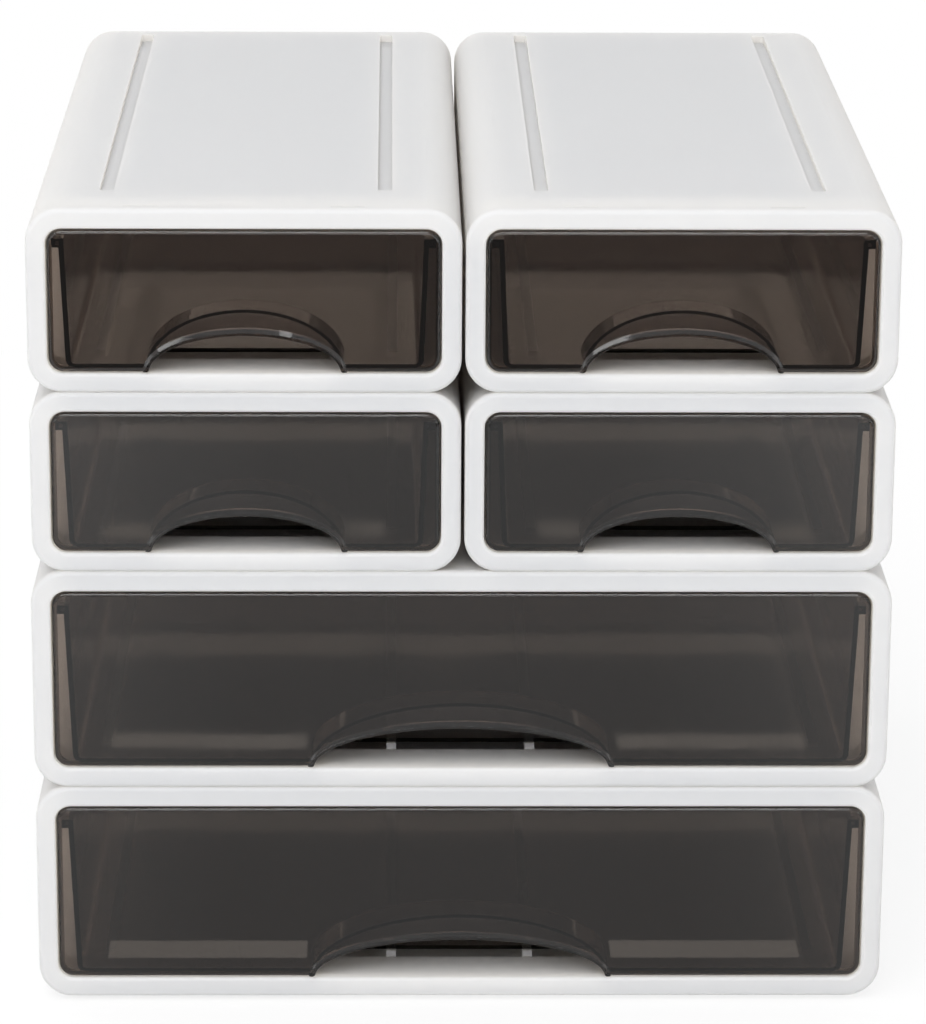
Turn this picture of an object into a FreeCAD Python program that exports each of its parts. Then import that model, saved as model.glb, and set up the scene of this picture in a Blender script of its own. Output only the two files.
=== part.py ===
import FreeCAD, Part
import math
import os
from collections import namedtuple

# Stackable drawer organizer: two wide drawer units carry two layers of two narrow ones.
# Millimetres, +Z up, front towards -Y, origin under the centre of the whole stack.
# Each unit is drawn with its front face at y = 0, its middle at x = 0 and its underside at z = 0,
# and is moved to its place in the stack at the end.

# Overall sizes of the units
unit_depth = 370.0
narrow_width = 175.0
narrow_height = 76.0
wide_height = 94.0
pair_gap = 1.5  # between two narrow units that stand side by side
wide_overhang = 1.0  # how far a wide unit reaches past the pair on each side

# Sleeve
corner_radius = 14.0
sleeve_wall = 2.2
back_edge_radius = 3.0
seam_radius = 0.3  # softened edges that show the seam between sleeve and front frame

# Stacking grooves in the roof and the feet that stand in them
groove_width = 5.9
groove_depth = 2.2
groove_inset = 31.0  # from the side of a narrow unit to the middle of its groove
groove_front = 34.0  # from the front face to the groove
groove_back = 11.0  # from the groove to the back face
groove_end_radius = 1.5
pocket_length = 18.0  # deeper pocket at the rear end of a groove
pocket_step = 1.0
foot_side_clearance = 0.3
foot_tip_clearance = 0.2

# Front frame
frame_depth = 3.0
frame_edge_radius = 2.0
band_side = 8.0
opening_radius = 6.5
opening_edge_radius = 1.5
return_wall = 2.0
sill_depth = 23.0  # from the front face to the rear edge of the wall round the opening
spigot_length = 9.0
spigot_wall = 1.8
spigot_clearance = 0.15

# Catches of the front frame in the roof and floor of the sleeve
catch_inset = 46.0  # from the side of a narrow unit to the middle of its catch
catch_length = 14.0
catch_width = 2.0
catch_height = 0.8
catch_setback = 2.0  # from the seam to the catch
catch_clearance = 0.2
catch_mark_width = 0.7  # shallow line on the roof over each catch
catch_mark_depth = 0.2

# Drawer front
front_gap = 0.5  # between the panel and the frame's opening
panel_setback = 0.8
panel_thickness = 2.0
panel_edge_radius = 1.6
rim_width = 2.0
rim_depth = 4.0
arch_foot_radius = 1.2
lip_face = 1.3  # flat front of the raised lip round the finger arch
lip_slope_side = 1.2  # from the lip's flat front out to the panel, beside the arch
lip_slope_crown = 2.2  # and above its crown
lip_edge_radius = 0.3
pocket_depth = 29.0  # from the front face to the foot of the pocket's back
pocket_lean_degrees = 17.5  # the pocket's back leans towards the front
pocket_wall = 1.3
pocket_edge_radius = 3.0
pocket_side_gap = 0.3  # from the side of the arch to the inside of the pocket
pocket_headroom = 9.3  # from the crown of the arch to the inside of the pocket

# Drawer tub
tub_inset = 4.7  # from the side of the panel to the tub wall at its top
tub_wall = 2.1
tub_floor = 1.8
tub_draft_degrees = 2.4
tub_corner_radius = 10.0
tub_edge_radius = 4.0
floor_lift = 1.3  # from the lower edge of the panel to the underside of the tub
flange_width = 2.8
flange_thickness = 2.0
flange_lip_wall = 1.3
flange_lip_height = 3.6
flange_end_length = 6.0  # solid end of the flange behind the panel

# Runners and stops
rail_width = 4.0
rail_inset = 12.5  # from the side of the tub floor to the middle of the outer glide rail
rail_start_gap = 1.0  # from the sill to the rails and guides
rail_nose = 1.5
guide_clearance = 0.5
guide_cover = 1.5  # how far a hold-down guide reaches over the flange
guide_thickness = 1.8
guide_drop = 4.0
stop_pad_depth = 2.0
stop_pad_width = 14.0
stop_pad_inset = 24.0  # from the side of the tub to the middle of a stop pad
drawer_kept_in = 70.0  # length of the drawer that stays in the sleeve when it is pulled out
stop_gap = 0.4
lug_width = 10.0
lug_thickness = 4.0
lug_catch = 1.4
lug_to_rail = 30.0

# Worked out from the sizes above
pair_pitch = narrow_width + pair_gap
wide_width = narrow_width + pair_pitch + 2 * wide_overhang
foot_width = groove_width - 2 * foot_side_clearance
foot_height = groove_depth - foot_tip_clearance
panel_back = panel_setback + panel_thickness
panel_middle = panel_setback + panel_thickness / 2
rim_back = panel_setback + rim_depth
rail_start = sill_depth + rail_start_gap
back_inside = unit_depth - sleeve_wall
flange_back = back_inside - stop_pad_depth
travel = unit_depth - drawer_kept_in
overcut = 1.0  # how far a cutting body reaches past what it cuts
slack = 0.001  # two places nearer than this are the same

# A kind of unit. The finger arch is half an ellipse standing on the lower edge of the panel.
# Bays are the middles of the narrow units that fit on the roof.
Kind = namedtuple(
    "Kind",
    "width height band_top band_bottom tub_drop arch_half_span arch_rise bays middle_rails",
)

narrow = Kind(
    width=narrow_width,
    height=narrow_height,
    band_top=8.2,
    band_bottom=8.0,
    tub_drop=3.9,
    arch_half_span=38.7,
    arch_rise=15.2,
    bays=(0.0,),
    middle_rails=(),
)

wide = Kind(
    width=wide_width,
    height=wide_height,
    band_top=8.7,
    band_bottom=8.5,
    tub_drop=5.9,
    arch_half_span=61.0,
    arch_rise=16.8,
    bays=(-pair_pitch / 2, pair_pitch / 2),
    middle_rails=(29.0,),
)


# Shapes

def vector(x, y, z):
    return FreeCAD.Vector(x, y, z)


def block(x0, x1, y0, y1, z0, z1):
    return Part.makeBox(x1 - x0, y1 - y0, z1 - z0, vector(x0, y0, z0))


def rounded_outline(u0, u1, v0, v1, radius, place):
    """Wire of a rounded rectangle; place turns its own u and v into a point."""
    centres = (
        (u1 - radius, v1 - radius),
        (u0 + radius, v1 - radius),
        (u0 + radius, v0 + radius),
        (u1 - radius, v0 + radius),
    )
    arcs = []
    for quarter, (cu, cv) in enumerate(centres):
        angles = [math.radians(90 * quarter + step) for step in (0, 45, 90)]
        points = [place(cu + radius * math.cos(a), cv + radius * math.sin(a)) for a in angles]
        arcs.append(points)
    edges = []
    for index, points in enumerate(arcs):
        following = arcs[(index + 1) % len(arcs)]
        edges.append(Part.Arc(*points).toShape())
        edges.append(Part.LineSegment(points[-1], following[0]).toShape())
    return Part.Wire(edges)


def prism_along_y(x0, x1, z0, z1, radius, y0, y1):
    wire = rounded_outline(x0, x1, z0, z1, radius, lambda u, v: vector(u, y0, v))
    return Part.Face(wire).extrude(vector(0, y1 - y0, 0))


def prism_along_z(x0, x1, y0, y1, radius, z0, z1):
    wire = rounded_outline(x0, x1, y0, y1, radius, lambda u, v: vector(u, v, z0))
    return Part.Face(wire).extrude(vector(0, 0, z1 - z0))


def arch_outline(half_span, rise, base, foot, y):
    """Wire of half an ellipse that stands on the height base, drawn down to the height foot."""
    crown = vector(0, y, base + rise)
    left = vector(-half_span, y, base)
    right = vector(half_span, y, base)
    ellipse = Part.Ellipse(right, crown, vector(0, y, base))
    start = ellipse.parameter(right)
    edges = [Part.ArcOfEllipse(ellipse, start, start + math.pi).toShape()]
    corners = [left, vector(-half_span, y, foot), vector(half_span, y, foot), right]
    for first, second in zip(corners, corners[1:]):
        if first.distanceToPoint(second) > 0:
            edges.append(Part.LineSegment(first, second).toShape())
    return Part.Wire(Part.__sortEdges__(edges))


def arch_prism(half_span, rise, base, foot, y0, y1):
    face = Part.Face(arch_outline(half_span, rise, base, foot, y0))
    return face.extrude(vector(0, y1 - y0, 0))


def edges_in(shape, x=None, y=None, z=None):
    """Edges whose bounds lie within the given ranges; a single number means that plane."""
    found = []
    for edge in shape.Edges:
        bounds = edge.BoundBox
        spans = (
            (x, bounds.XMin, bounds.XMax),
            (y, bounds.YMin, bounds.YMax),
            (z, bounds.ZMin, bounds.ZMax),
        )
        inside = True
        for wanted, low, high in spans:
            if wanted is None:
                continue
            first, last = wanted if isinstance(wanted, tuple) else (wanted, wanted)
            inside = inside and low >= first - slack and high <= last + slack
        if inside:
            found.append(edge)
    return found


def joined(shapes):
    return shapes[0].multiFuse(shapes[1:]).removeSplitter()


# Sizes that several pieces share

def opening_bounds(kind):
    half = kind.width / 2 - band_side
    return -half, half, kind.band_bottom, kind.height - kind.band_top


def panel_bounds(kind):
    x0, x1, z0, z1 = opening_bounds(kind)
    return x0 + front_gap, x1 - front_gap, z0 + front_gap, z1 - front_gap


def tub_heights(kind):
    x0, x1, z0, z1 = panel_bounds(kind)
    return z0 + floor_lift, z1 - kind.tub_drop


def tub_half_width(kind, height):
    """Half the outside width of the tub at a height."""
    panel_half = panel_bounds(kind)[1]
    top = tub_heights(kind)[1]
    return panel_half - tub_inset - (top - height) * math.tan(math.radians(tub_draft_degrees))


def tub_back(kind, height):
    """Outside of the tub's back wall at a height."""
    lean = tub_half_width(kind, tub_heights(kind)[1]) - tub_half_width(kind, height)
    return flange_back - flange_width - lean


def groove_middles(kind):
    reach = narrow_width / 2 - groove_inset
    return [bay + side * reach for bay in kind.bays for side in (-1, 1)]


def catch_middles(kind):
    reach = narrow_width / 2 - catch_inset
    return [bay + side * reach for bay in kind.bays for side in (-1, 1)]


def outer_rail(kind):
    return tub_half_width(kind, tub_heights(kind)[0]) - rail_inset


# Sleeve

def sleeve_shell(kind):
    half = kind.width / 2
    outer = prism_along_y(-half, half, 0, kind.height, corner_radius, frame_depth, unit_depth)
    outer = outer.makeFillet(back_edge_radius, edges_in(outer, y=unit_depth))
    outer = outer.makeFillet(seam_radius, edges_in(outer, y=frame_depth))
    inside = prism_along_y(
        -half + sleeve_wall,
        half - sleeve_wall,
        sleeve_wall,
        kind.height - sleeve_wall,
        corner_radius - sleeve_wall,
        frame_depth - overcut,
        back_inside,
    )
    return outer.cut(inside)


def groove_cut(middle, roof):
    half = groove_width / 2
    end = unit_depth - groove_back
    slot = prism_along_z(
        middle - half,
        middle + half,
        groove_front,
        end,
        groove_end_radius,
        roof - groove_depth,
        roof + overcut,
    )
    pocket = prism_along_z(
        middle - half,
        middle + half,
        end - pocket_length,
        end,
        groove_end_radius,
        roof - groove_depth - pocket_step,
        roof + overcut,
    )
    return [slot, pocket]


def groove_backing(middle, roof):
    """Keeps the roof its full thickness under a groove and its pocket."""
    half = groove_width / 2 + sleeve_wall
    end = unit_depth - groove_back + sleeve_wall
    under_slot = roof - groove_depth - sleeve_wall
    inside_roof = roof - sleeve_wall / 2
    slot = block(middle - half, middle + half, groove_front - sleeve_wall, end, under_slot, inside_roof)
    pocket = block(
        middle - half,
        middle + half,
        end - pocket_length - 2 * sleeve_wall,
        end,
        under_slot - pocket_step,
        inside_roof,
    )
    return [slot, pocket]


def foot(middle):
    half = foot_width / 2
    start = groove_front + foot_side_clearance
    end = unit_depth - groove_back - foot_side_clearance
    radius = groove_end_radius - foot_side_clearance
    return prism_along_z(middle - half, middle + half, start, end, radius, -foot_height, sleeve_wall / 2)


def glide_rails(kind):
    """The drawer's floor rides on these; their front ends slope down to the sill."""
    top = tub_heights(kind)[0]
    places = [outer_rail(kind), *kind.middle_rails]
    rails = []
    for middle in [side * place for place in places for side in (-1, 1)]:
        rail = block(
            middle - rail_width / 2,
            middle + rail_width / 2,
            rail_start,
            back_inside + sleeve_wall / 2,
            sleeve_wall / 2,
            top,
        )
        front_edge = edges_in(rail, y=rail_start, z=top)
        rails.append(rail.makeChamfer(rail_nose, front_edge))
    return rails


def hold_down_guides(kind):
    """Angle along each side wall: over the drawer's flange and down past its outer edge."""
    flange_top = tub_heights(kind)[1]
    flange_edge = tub_half_width(kind, flange_top) + flange_width
    wall = kind.width / 2 - sleeve_wall / 2
    under = flange_top + guide_clearance
    beside = flange_edge + guide_clearance
    guides = []
    for side in (-1, 1):
        over = sorted((side * (flange_edge - guide_cover), side * wall))
        down = sorted((side * beside, side * (beside + guide_thickness)))
        end = back_inside + sleeve_wall / 2
        guides.append(block(*over, rail_start, end, under, under + guide_thickness))
        guides.append(block(*down, rail_start, end, flange_top - guide_drop, under + guide_thickness))
    return guides


def closing_stops(kind):
    """Pads on the back wall that the drawer's rear flange rests against when it is closed."""
    flange_top = tub_heights(kind)[1]
    reach = tub_half_width(kind, flange_top) - stop_pad_inset
    pads = []
    for middle in (-reach, reach):
        pads.append(
            block(
                middle - stop_pad_width / 2,
                middle + stop_pad_width / 2,
                flange_back,
                back_inside + sleeve_wall / 2,
                flange_top - flange_lip_height,
                flange_top,
            )
        )
    return pads


def catch_recesses(kind):
    length = catch_length / 2 + catch_clearance
    front = frame_depth + catch_setback - catch_clearance
    back = frame_depth + catch_setback + catch_width + catch_clearance
    reach = spigot_clearance + catch_height
    floor = sleeve_wall
    roof = kind.height - sleeve_wall
    cuts = []
    for middle in catch_middles(kind):
        cuts.append(block(middle - length, middle + length, front, back, floor - reach, floor + overcut))
        cuts.append(block(middle - length, middle + length, front, back, roof - overcut, roof + reach))
    return cuts


def catch_marks(kind):
    middle_line = frame_depth + catch_setback + catch_width / 2
    front = middle_line - catch_mark_width / 2
    back = middle_line + catch_mark_width / 2
    low = kind.height - catch_mark_depth
    marks = []
    for middle in catch_middles(kind):
        left = middle - catch_length / 2
        right = middle + catch_length / 2
        marks.append(block(left, right, front, back, low, kind.height + overcut))
    return marks


def make_sleeve(kind):
    parts = [sleeve_shell(kind)]
    cuts = catch_recesses(kind) + catch_marks(kind)
    for middle in groove_middles(kind):
        parts.extend(groove_backing(middle, kind.height))
        parts.append(foot(middle))
        cuts.extend(groove_cut(middle, kind.height))
    parts.extend(glide_rails(kind))
    parts.extend(hold_down_guides(kind))
    parts.extend(closing_stops(kind))
    return joined(parts).cut(cuts).removeSplitter()


# Front frame

def face_plate(kind):
    half = kind.width / 2
    plate = prism_along_y(-half, half, 0, kind.height, corner_radius, 0, frame_depth)
    plate = plate.makeFillet(frame_edge_radius, edges_in(plate, y=0))
    return plate.makeFillet(seam_radius, edges_in(plate, y=frame_depth))


def return_tube(kind):
    """Wall that runs back from the opening; its lower part is the sill."""
    x0, x1, z0, z1 = opening_bounds(kind)
    return prism_along_y(
        x0 - return_wall,
        x1 + return_wall,
        z0 - return_wall,
        z1 + return_wall,
        opening_radius + return_wall,
        frame_depth / 2,
        sill_depth,
    )


def spigot(kind):
    inset = sleeve_wall + spigot_clearance
    half = kind.width / 2
    end = frame_depth + spigot_length
    outer = prism_along_y(
        -half + inset,
        half - inset,
        inset,
        kind.height - inset,
        corner_radius - inset,
        frame_depth / 2,
        end,
    )
    inset = inset + spigot_wall
    inner = prism_along_y(
        -half + inset,
        half - inset,
        inset,
        kind.height - inset,
        corner_radius - inset,
        frame_depth,
        end + overcut,
    )
    return outer.cut(inner)


def catches(kind):
    root = sleeve_wall + spigot_clearance
    front = frame_depth + catch_setback
    low = root - catch_height
    high = kind.height - root
    found = []
    for middle in catch_middles(kind):
        left = middle - catch_length / 2
        right = middle + catch_length / 2
        back = front + catch_width
        found.append(block(left, right, front, back, low, root + spigot_wall / 2))
        found.append(block(left, right, front, back, high - spigot_wall / 2, high + catch_height))
    return found


def make_front_frame(kind):
    x0, x1, z0, z1 = opening_bounds(kind)
    opening = prism_along_y(x0, x1, z0, z1, opening_radius, -overcut, sill_depth + overcut)
    frame = joined([face_plate(kind), return_tube(kind), spigot(kind), *catches(kind)])
    frame = frame.cut(opening)
    mouth = edges_in(frame, x=(x0, x1), y=0, z=(z0, z1))
    return frame.makeFillet(opening_edge_radius, mouth)


# Drawer

def arch_lip(kind):
    """Raised lip round the finger arch, as high as the panel is set back."""
    z0 = panel_bounds(kind)[2]
    span = kind.arch_half_span + lip_face
    rise = kind.arch_rise + lip_face
    foot = (span + lip_slope_side, rise + lip_slope_crown, z0, z0)
    outlines = [arch_outline(*foot, panel_setback), arch_outline(span, rise, z0, z0, 0)]
    slope = Part.makeLoft(outlines, True, True)
    return joined([slope, arch_prism(*foot, panel_setback, panel_back)])


def drawer_front(kind):
    """Panel with a rim behind its outline and behind the finger arch, and a lip round the arch."""
    x0, x1, z0, z1 = panel_bounds(kind)
    radius = opening_radius - front_gap
    panel = prism_along_y(x0, x1, z0, z1, radius, panel_setback, rim_back)
    panel = panel.makeFillet(panel_edge_radius, edges_in(panel, y=panel_setback))
    hollow = prism_along_y(
        x0 + rim_width,
        x1 - rim_width,
        z0 + rim_width,
        z1 - rim_width,
        radius - rim_width,
        panel_back,
        rim_back + overcut,
    )
    span = kind.arch_half_span
    rise = kind.arch_rise
    arch_rim = arch_prism(span + rim_width, rise + rim_width, z0, z0, panel_middle, rim_back)
    arch = arch_prism(span, rise, z0, z0 - overcut, -overcut, rim_back + overcut)
    front = joined([panel.cut(hollow), arch_rim, arch_lip(kind)]).cut(arch).removeSplitter()
    feet = edges_in(front, x=-span, z=z0) + edges_in(front, x=span, z=z0)
    front = front.makeFillet(arch_foot_radius, feet)
    return front.makeFillet(lip_edge_radius, edges_in(front, y=0))


def tub_body(kind, inset, low, high):
    """Drafted tub, the inset inside its outer walls, with rounded lower edges."""
    front = panel_back - 2 * tub_corner_radius
    sections = []
    for height in (low, high):
        half = tub_half_width(kind, height) - inset
        back = tub_back(kind, height) - inset
        radius = tub_corner_radius - inset
        place = lambda u, v, z=height: vector(u, v, z)
        sections.append(rounded_outline(-half, half, front, back, radius, place))
    body = Part.makeLoft(sections, True, True)
    return body.makeFillet(tub_edge_radius - inset, edges_in(body, z=low))


def behind(shape, y):
    """The part of a drawer shape that lies behind a plane."""
    bounds = shape.BoundBox
    front = bounds.YMin - overcut
    return shape.cut(
        block(
            bounds.XMin - overcut,
            bounds.XMax + overcut,
            front,
            y,
            bounds.ZMin - overcut,
            bounds.ZMax + overcut,
        )
    )


def flange(kind):
    """Flange round the top of the tub with a lip that turns down."""
    top = tub_heights(kind)[1]
    front = panel_back - 2 * tub_corner_radius
    half = tub_half_width(kind, top) + flange_width
    radius = tub_corner_radius + flange_width
    low = top - flange_lip_height
    plate = prism_along_z(-half, half, front, flange_back, radius, low, top)
    under = prism_along_z(
        -half + flange_lip_wall,
        half - flange_lip_wall,
        front + flange_lip_wall,
        flange_back - flange_lip_wall,
        radius - flange_lip_wall,
        low - overcut,
        top - flange_thickness,
    )
    under = behind(under, panel_back + flange_end_length)
    return behind(plate.cut(under), panel_middle)


def vault_back(inset, height):
    """How far back a vault reaches at a height over the lower edge of the panel."""
    lean = math.radians(pocket_lean_degrees)
    return pocket_depth - inset / math.cos(lean) - height * math.tan(lean)


def vault(kind, inset, front, foot):
    """Vaulted body behind the finger arch, the inset inside the outside of the pocket."""
    z0 = panel_bounds(kind)[2]
    half_span = kind.arch_half_span + pocket_side_gap + pocket_wall - inset
    rise = kind.arch_rise + pocket_headroom + pocket_wall - inset
    back = vault_back(inset, 0)
    body = arch_prism(half_span, rise, z0, foot, front, pocket_depth + 2 * overcut)
    rear = block(-kind.width, kind.width, back, back + kind.height, z0 - kind.height, z0 + kind.height)
    rear.rotate(vector(0, back, z0), vector(1, 0, 0), pocket_lean_degrees)
    body = body.cut(rear)
    curved = []
    for edge in body.Edges:
        middle = edge.valueAt((edge.FirstParameter + edge.LastParameter) / 2)
        height = middle.z - z0
        if height > overcut and abs(middle.y - vault_back(inset, height)) < slack:
            curved.append(edge)
    return body.makeFillet(pocket_edge_radius - inset, curved)


def finger_pocket(kind):
    """Outside and inside of the pocket that the fingers reach through the arch."""
    z0 = panel_bounds(kind)[2]
    outer = vault(kind, 0, panel_middle, z0)
    below_tub = block(-kind.width, kind.width, -overcut, unit_depth, z0 - overcut, tub_heights(kind)[0])
    return outer.cut(below_tub), vault(kind, pocket_wall, panel_middle - overcut, z0 - overcut)


def stop_lugs(kind):
    """Lugs under the tub that meet the rear edge of the sill when the drawer is pulled out."""
    underside = tub_heights(kind)[0]
    front = sill_depth + travel + stop_gap
    reach = outer_rail(kind) - lug_to_rail
    lugs = []
    for middle in (-reach, reach):
        lugs.append(
            block(
                middle - lug_width / 2,
                middle + lug_width / 2,
                front,
                front + lug_thickness,
                kind.band_bottom - lug_catch,
                underside + tub_floor / 2,
            )
        )
    return lugs


def make_drawer(kind):
    low, high = tub_heights(kind)
    outer = behind(tub_body(kind, 0, low, high), panel_middle)
    inner = behind(tub_body(kind, tub_wall, low + tub_floor, high + overcut), panel_back)
    pocket_outside, pocket_inside = finger_pocket(kind)
    tub = joined([outer, flange(kind)]).cut(inner)
    tub = joined([tub, pocket_outside, *stop_lugs(kind)]).cut(pocket_inside)
    return joined([drawer_front(kind), tub])


# Stack

Unit = namedtuple("Unit", "name kind x z")

level_1 = foot_height
level_2 = level_1 + wide.height
level_3 = level_2 + wide.height
level_4 = level_3 + narrow.height

units = (
    Unit("bottom_wide", wide, 0, level_1),
    Unit("upper_wide", wide, 0, level_2),
    Unit("lower_left", narrow, -pair_pitch / 2, level_3),
    Unit("lower_right", narrow, pair_pitch / 2, level_3),
    Unit("top_left", narrow, -pair_pitch / 2, level_4),
    Unit("top_right", narrow, pair_pitch / 2, level_4),
)

makers = {
    "sleeve": make_sleeve,
    "front_frame": make_front_frame,
    "drawer": make_drawer,
}


def write_parts():
    os.makedirs("parts", exist_ok=True)
    for piece, make in makers.items():
        shapes = {kind: make(kind) for kind in (narrow, wide)}
        for unit in units:
            shape = shapes[unit.kind].copy()
            shape.translate(vector(unit.x, -unit_depth / 2, unit.z))
            shape.exportStep(f"parts/{unit.name}_{piece}.step")


write_parts()
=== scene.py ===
import math

import bpy
from mathutils import Matrix, Vector

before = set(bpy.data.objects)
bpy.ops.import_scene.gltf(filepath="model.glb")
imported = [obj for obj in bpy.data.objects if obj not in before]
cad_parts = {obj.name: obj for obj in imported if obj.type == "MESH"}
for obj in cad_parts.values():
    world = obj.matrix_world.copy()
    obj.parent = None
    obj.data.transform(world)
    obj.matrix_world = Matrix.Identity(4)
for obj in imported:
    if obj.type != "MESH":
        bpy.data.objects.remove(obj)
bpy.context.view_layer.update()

# Lengths are in metres, angles in degrees, lamp powers in watts. A noise is given by its scale,
# detail and roughness, and a relief by the strength and distance of its bump.
noise_range = (0.3, 0.7)  # most values of a noise lie between these

# Camera at the photograph's viewpoint
camera_place = (-0.0291, -1.9285, 0.7553)
camera_yaw = -0.96
camera_pitch = 17.19
camera_roll = 0.34
camera_lens = 157.5  # in millimetres, as is the sensor
camera_sensor = 36.0
camera_from = 0.05
camera_to = 50.0

# White casing plastic
casing_light = (0.925, 0.950, 0.995)
casing_dark = (0.910, 0.935, 0.980)
casing_clouds = (9.0, 3.0)
casing_gloss = (60.0, 4.0, 0.6)
casing_roughness = (0.36, 0.46)
casing_waves = (14.0, 1.0)
casing_wave_relief = (0.25, 0.0008)
casing_grain = (2600.0, 2.0, 0.6)
casing_grain_relief = (0.08, 0.0001)
casing_ior = 1.5
casing_steps = (0.37, 0.53, 0.71)
casing_through = (1.0, 0.965, 0.905)  # light that has passed the wall turns warm
casing_through_share = 0.55
groove_reach = 0.006  # painted shade: hollows narrower than this, the grooves and seams, are painted darker in the base colour
groove_painted_shade = 0.80
groove_open = (0.55, 0.95)
groove_samples = 6

# Smoke-grey drawer plastic
smoke_passes = (0.40, 0.342, 0.312)  # share of light that one wall lets through
smoke_wall = 0.0019
smoke_light = (1.0, 1.0, 1.0)
smoke_dark = (0.97, 0.965, 0.96)
smoke_clouds = (12.0, 3.0)
smoke_gloss = (45.0, 4.0, 0.6)
smoke_gloss_range = (0.35, 0.75)
smoke_roughness = (0.03, 0.07)
smoke_waves = (11.0, 1.0)
smoke_wave_relief = (0.2, 0.0006)
smoke_ior = 1.55
smoke_steps = (0.41, 0.29, 0.83)

# Floor: off the middle its own shading gives way to white between two distances
floor_reach = 12.0
floor_grey = (0.86, 0.86, 0.86)
floor_clear_from = 0.35
floor_clear_to = 0.9
floor_clear_share = 0.8

# Cards just above the floor that show only in gloss: a grey one in front of the object, a dark
# flag beyond it, and warm patches that the drawers mirror low on each side of the finger arches
card_half_width = 1.4
card_height = 0.004
card_near = -0.19
card_far = -1.075
card_near_grey = 0.66
card_far_grey = 0.88
side_from = 0.10  # the grey card grows lighter from this distance off the middle
side_to = 0.26
side_gain = 0.40
flag_far = -2.6
flag_grey = (0.26, 0.24, 0.23)
patch_height = 0.006
patch_colour = (1.0, 0.92, 0.85)
patches = (  # left, right, far, near, strength
    (-0.150, -0.065, -0.235, -0.216, 1.80),
    (0.065, 0.146, -0.235, -0.216, 1.80),
    (-0.165, -0.070, -0.495, -0.475, 1.85),
    (0.081, 0.172, -0.495, -0.475, 1.85),
    (-0.189, -0.162, -0.837, -0.809, 1.75),
    (-0.055, -0.033, -0.839, -0.812, 1.75),
    (0.054, 0.076, -0.839, -0.812, 1.75),
    (0.185, 0.206, -0.837, -0.809, 1.75),
)

# Light
sky_horizon = 0.85
sky_zenith = 0.72
object_middle = (0.0, 0.0, 0.17)
lamps = (  # name, place, target, width, height, power
    ("front_box", (-1.0, -3.6, 3.9), object_middle, 4.2, 3.2, 156.0),
    ("left_box", (-2.2, -1.2, 0.8), object_middle, 1.2, 0.9, 3.5),
    ("right_box", (2.2, -1.2, 0.8), object_middle, 1.2, 0.9, 2.5),
    ("low_box", (0.0, -2.0, 0.36), (0.0, 0.0, 0.15), 3.6, 0.3, 7.0),
    ("top_box", (-0.6, 0.0, 2.6), (0.0, 0.0, 0.2), 1.2, 0.8, 12.0),
)


# Shader helpers

def node(tree, kind, **settings):
    """Adds a node; each setting goes to the property of that name, or else to the socket."""
    made = tree.nodes.new(kind)
    for key, value in settings.items():
        if hasattr(made, key):
            setattr(made, key, value)
        else:
            made.inputs[key].default_value = value
    return made


def new_material(name):
    material = bpy.data.materials.new(name)
    material.use_nodes = True
    tree = material.node_tree
    tree.nodes.clear()
    return material, tree


def own_place(tree, seed, steps):
    """Object coordinates, shifted so that no two pieces show the same pattern."""
    shift = node(tree, "ShaderNodeMapping", Location=[seed * step for step in steps])
    tree.links.new(node(tree, "ShaderNodeTexCoord").outputs["Object"], shift.inputs["Vector"])
    return shift.outputs["Vector"]


def noise(tree, place, scale, detail=2.0, roughness=0.5):
    made = node(tree, "ShaderNodeTexNoise", Scale=scale, Detail=detail, Roughness=roughness)
    tree.links.new(place, made.inputs["Vector"])
    return made.outputs["Fac"]


def spread(tree, value, low, high, to_low, to_high):
    """Maps low to high onto to_low to to_high, and holds the ends."""
    made = node(tree, "ShaderNodeMapRange")
    numbers = {"From Min": low, "From Max": high, "To Min": to_low, "To Max": to_high}
    for key, number in numbers.items():
        made.inputs[key].default_value = number
    tree.links.new(value, made.inputs["Value"])
    return made.outputs["Result"]


def maths(tree, operation, first, second=None, clamp=False):
    made = node(tree, "ShaderNodeMath", operation=operation, use_clamp=clamp)
    tree.links.new(first, made.inputs[0])
    if second is not None:
        tree.links.new(second, made.inputs[1])
    return made.outputs["Value"]


def blend_colour(tree, value, first, second):
    made = node(tree, "ShaderNodeMix", data_type="RGBA", A=(*first, 1.0), B=(*second, 1.0))
    tree.links.new(value, made.inputs["Factor"])
    return made.outputs["Result"]


def bump(tree, height, strength, distance, below=None):
    """Relief from a height, on top of another relief where one is given."""
    made = node(tree, "ShaderNodeBump", Strength=strength, Distance=distance)
    tree.links.new(height, made.inputs["Height"])
    if below is not None:
        tree.links.new(below, made.inputs["Normal"])
    return made.outputs["Normal"]


def mix_shaders(tree, first, second, factor=None):
    made = node(tree, "ShaderNodeMixShader")
    if factor is not None:
        tree.links.new(factor, made.inputs["Fac"])
    tree.links.new(first, made.inputs[1])
    tree.links.new(second, made.inputs[2])
    return made


def show(tree, shader, kind="ShaderNodeOutputMaterial"):
    """Gives the shader to the material's or the world's output."""
    output = node(tree, kind)
    tree.links.new(shader, output.inputs["Surface"])
    return output


# Materials of the object

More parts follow.
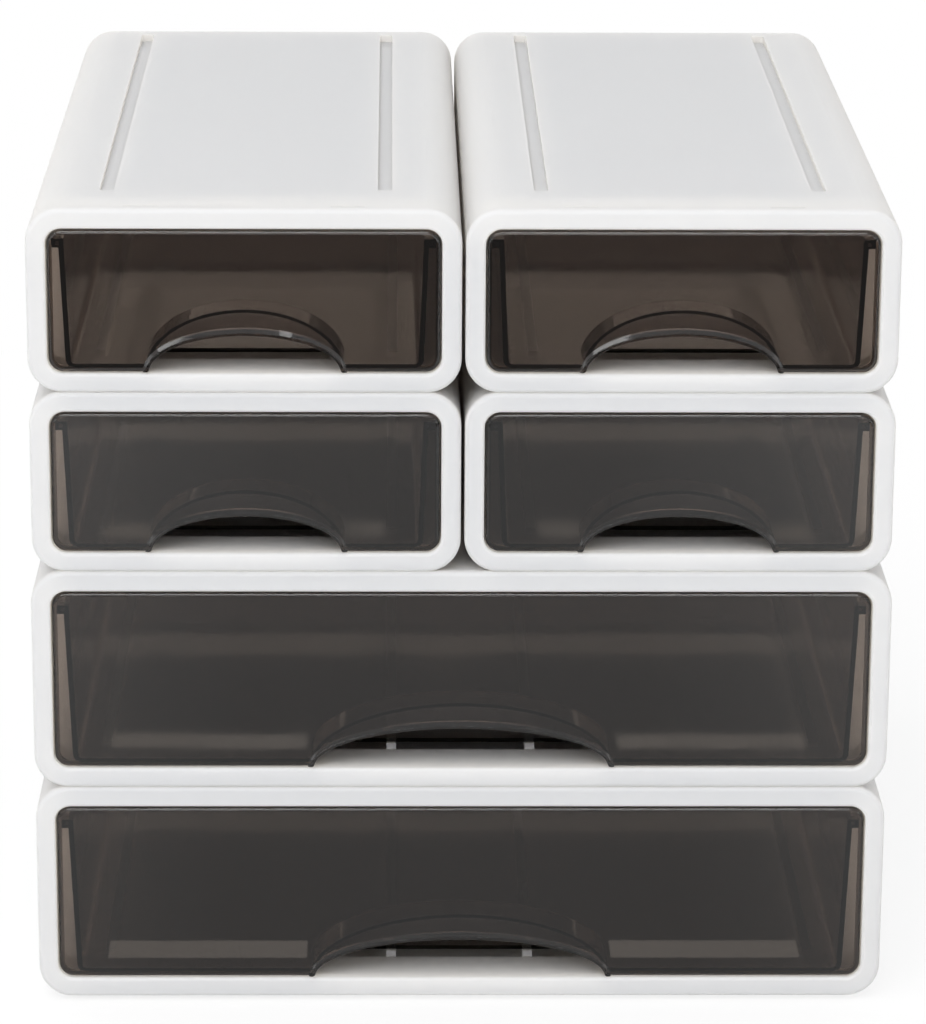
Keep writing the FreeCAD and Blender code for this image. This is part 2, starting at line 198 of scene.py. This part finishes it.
def casing_material(name, seed):
    """Satin moulded plastic with fine grain and slow waves, which lets some light through, with
    painted shade in its grooves and seams.
    """
    material, tree = new_material(name)
    links = tree.links
    place = own_place(tree, seed, casing_steps)

    clouds = spread(tree, noise(tree, place, *casing_clouds), *noise_range, 0.0, 1.0)
    tint = blend_colour(tree, clouds, casing_light, casing_dark)
    # Painted shade: ambient occlusion darkens the base colour in the grooves and seams
    hollow = node(tree, "ShaderNodeAmbientOcclusion", only_local=True, samples=groove_samples)
    hollow.inputs["Distance"].default_value = groove_reach
    painted_shade = spread(tree, hollow.outputs["AO"], *groove_open, groove_painted_shade, 1.0)
    tint_with_painted_shade = node(tree, "ShaderNodeMix", data_type="RGBA", blend_type="MULTIPLY", Factor=1.0)
    links.new(tint, tint_with_painted_shade.inputs["A"])
    links.new(painted_shade, tint_with_painted_shade.inputs["B"])
    roughness = spread(tree, noise(tree, place, *casing_gloss), *noise_range, *casing_roughness)
    waves = bump(tree, noise(tree, place, *casing_waves), *casing_wave_relief)
    relief = bump(tree, noise(tree, place, *casing_grain), *casing_grain_relief, waves)

    shader = node(tree, "ShaderNodeBsdfPrincipled", IOR=casing_ior)
    links.new(tint_with_painted_shade.outputs["Result"], shader.inputs["Base Color"])
    links.new(roughness, shader.inputs["Roughness"])
    links.new(relief, shader.inputs["Normal"])
    through = node(tree, "ShaderNodeBsdfTranslucent", Color=(*casing_through, 1.0))
    mix = mix_shaders(tree, shader.outputs["BSDF"], through.outputs["BSDF"])
    mix.inputs["Fac"].default_value = casing_through_share
    show(tree, mix.outputs["Shader"])
    return material


def smoke_material(name, seed):
    """Clear smoke-grey polished plastic that darkens with the length of plastic looked through."""
    material, tree = new_material(name)
    links = tree.links
    place = own_place(tree, seed, smoke_steps)

    clouds = spread(tree, noise(tree, place, *smoke_clouds), *noise_range, 0.0, 1.0)
    tint = blend_colour(tree, clouds, smoke_dark, smoke_light)
    gloss = noise(tree, place, *smoke_gloss)
    roughness = spread(tree, gloss, *smoke_gloss_range, *smoke_roughness)
    relief = bump(tree, noise(tree, place, *smoke_waves), *smoke_wave_relief)

    shader = node(tree, "ShaderNodeBsdfPrincipled", IOR=smoke_ior)
    shader.inputs["Transmission Weight"].default_value = 1.0
    links.new(tint, shader.inputs["Base Color"])
    links.new(roughness, shader.inputs["Roughness"])
    links.new(relief, shader.inputs["Normal"])

    # Absorption is the density times one less the colour, so the colour that fades most is 0 here
    most = math.log(min(smoke_passes))
    kept = [1.0 - math.log(share) / most for share in smoke_passes]
    inside = node(tree, "ShaderNodeVolumeAbsorption", Color=(*kept, 1.0))
    inside.inputs["Density"].default_value = -most / smoke_wall
    output = show(tree, shader.outputs["BSDF"])
    links.new(inside.outputs["Volume"], output.inputs["Volume"])
    return material


for index, (name, piece) in enumerate(sorted(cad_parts.items())):
    if name.endswith("_drawer"):
        material = smoke_material(f"smoke_{name}", index)
    else:
        material = casing_material(f"casing_{name}", index)
    for slot in piece.material_slots:
        slot.material = material


# Stage

def floor_material():
    """Pale floor with the object's shadow, but white in gloss, in clear plastic and far away."""
    material, tree = new_material("stage_floor")
    length = node(tree, "ShaderNodeVectorMath", operation="LENGTH")
    tree.links.new(node(tree, "ShaderNodeTexCoord").outputs["Object"], length.inputs[0])
    away = spread(
        tree, length.outputs["Value"], floor_clear_from, floor_clear_to, floor_clear_share, 1.0
    )
    rays = node(tree, "ShaderNodeLightPath").outputs
    seen = maths(tree, "MULTIPLY", rays["Is Camera Ray"], away)
    # Light scattered through a casing counts as transmission too, but has to meet the pale floor
    through = rays["Is Transmission Ray"]
    clear = maths(tree, "SUBTRACT", through, rays["Is Diffuse Ray"], clamp=True)
    mirrored = maths(tree, "MAXIMUM", rays["Is Glossy Ray"], clear)
    factor = maths(tree, "MAXIMUM", seen, mirrored)
    pale = node(tree, "ShaderNodeBsdfDiffuse", Color=(*floor_grey, 1.0))
    white = node(tree, "ShaderNodeEmission", Strength=1.0)
    mix = mix_shaders(tree, pale.outputs["BSDF"], white.outputs["Emission"], factor)
    show(tree, mix.outputs["Shader"])
    return material


def flat_panel(name, x0, x1, y0, y1, z, material):
    mesh = bpy.data.meshes.new(name)
    mesh.from_pydata([(x0, y0, z), (x1, y0, z), (x1, y1, z), (x0, y1, z)], [], [(0, 1, 2, 3)])
    panel = bpy.data.objects.new(name, mesh)
    bpy.context.scene.collection.objects.link(panel)
    mesh.materials.append(material)
    return panel


def mirrored_card(
    name, far, near, left=-card_half_width, right=card_half_width, height=card_height
):
    """A glowing card that shows only in gloss; returns its node tree and its emission shader."""
    look, tree = new_material(name)
    shader = node(tree, "ShaderNodeEmission")
    show(tree, shader.outputs["Emission"])
    card = flat_panel(name, left, right, far, near, height, look)
    card.visible_camera = False
    card.visible_diffuse = False
    card.visible_shadow = False
    card.visible_transmission = False
    return tree, shader


def grey_card():
    """The card in front of the object: lighter with distance, and towards both sides."""
    tree, shader = mirrored_card("stage_card", card_far, card_near)
    parts = node(tree, "ShaderNodeSeparateXYZ")
    tree.links.new(node(tree, "ShaderNodeTexCoord").outputs["Object"], parts.inputs["Vector"])
    level = spread(tree, parts.outputs["Y"], card_near, card_far, card_near_grey, card_far_grey)
    aside = maths(tree, "ABSOLUTE", parts.outputs["X"])
    side_level = spread(tree, aside, side_from, side_to, 0.0, side_gain)
    strength = maths(tree, "ADD", level, side_level)
    tree.links.new(strength, shader.inputs["Strength"])


flat_panel(
    "stage_floor", -floor_reach, floor_reach, -floor_reach, floor_reach, 0.0, floor_material()
)
grey_card()
for number, (left, right, far, near, strength) in enumerate(patches):
    patch_shader = mirrored_card(f"stage_patch_{number}", far, near, left, right, patch_height)[1]
    patch_shader.inputs["Color"].default_value = (*patch_colour, 1.0)
    patch_shader.inputs["Strength"].default_value = strength
flag_shader = mirrored_card("stage_flag", flag_far, card_far)[1]
flag_shader.inputs["Color"].default_value = (*flag_grey, 1.0)


# Light

def make_world():
    """Soft sky, which the camera, gloss and clear plastic see as plain white."""
    world = bpy.data.worlds.new("studio")
    bpy.context.scene.world = world
    world.use_nodes = True
    tree = world.node_tree
    tree.nodes.clear()
    rays = node(tree, "ShaderNodeLightPath").outputs
    mirrored = maths(tree, "MAXIMUM", rays["Is Glossy Ray"], rays["Is Transmission Ray"])
    seen = maths(tree, "MAXIMUM", rays["Is Camera Ray"], mirrored)
    parts = node(tree, "ShaderNodeSeparateXYZ")
    tree.links.new(node(tree, "ShaderNodeTexCoord").outputs["Generated"], parts.inputs["Vector"])
    sky = spread(tree, parts.outputs["Z"], 0.0, 1.0, sky_horizon, sky_zenith)
    light = node(tree, "ShaderNodeBackground", Color=(1.0, 1.0, 1.0, 1.0))
    tree.links.new(sky, light.inputs["Strength"])
    white = node(tree, "ShaderNodeBackground", Color=(1.0, 1.0, 1.0, 1.0), Strength=1.0)
    mix = mix_shaders(tree, light.outputs["Background"], white.outputs["Background"], seen)
    show(tree, mix.outputs["Shader"], "ShaderNodeOutputWorld")


def soft_box(name, place, target, width, height, power):
    """A rectangular lamp that faces its target."""
    lamp = bpy.data.lights.new(name, "AREA")
    lamp.shape = "RECTANGLE"
    lamp.size = width
    lamp.size_y = height
    lamp.energy = power
    holder = bpy.data.objects.new(name, lamp)
    bpy.context.scene.collection.objects.link(holder)
    holder.location = place
    aim = Vector(target) - Vector(place)
    holder.rotation_euler = aim.to_track_quat("-Z", "Y").to_euler()


make_world()
for lamp_values in lamps:
    soft_box(*lamp_values)


# Camera

def make_camera():
    """Looks along +Y, turned by the yaw, tilted down by the pitch, then rolled."""
    yaw = math.radians(camera_yaw)
    pitch = math.radians(camera_pitch)
    roll = math.radians(camera_roll)
    right = Vector((math.cos(yaw), math.sin(yaw), 0.0))
    level = Vector((-math.sin(yaw), math.cos(yaw), 0.0))
    ahead = level * math.cos(pitch) - Vector((0.0, 0.0, math.sin(pitch)))
    up = level * math.sin(pitch) + Vector((0.0, 0.0, math.cos(pitch)))
    rolled_right = right * math.cos(roll) + up * math.sin(roll)
    rolled_up = up * math.cos(roll) - right * math.sin(roll)
    turn = Matrix((rolled_right, rolled_up, -ahead)).transposed().to_4x4()
    data = bpy.data.cameras.new("camera")
    data.lens = camera_lens
    data.sensor_width = camera_sensor
    data.clip_start = camera_from
    data.clip_end = camera_to
    camera = bpy.data.objects.new("camera", data)
    bpy.context.scene.collection.objects.link(camera)
    camera.matrix_world = Matrix.Translation(Vector(camera_place)) @ turn
    bpy.context.scene.camera = camera


make_camera()
bpy.context.scene.view_settings.view_transform = "Standard"
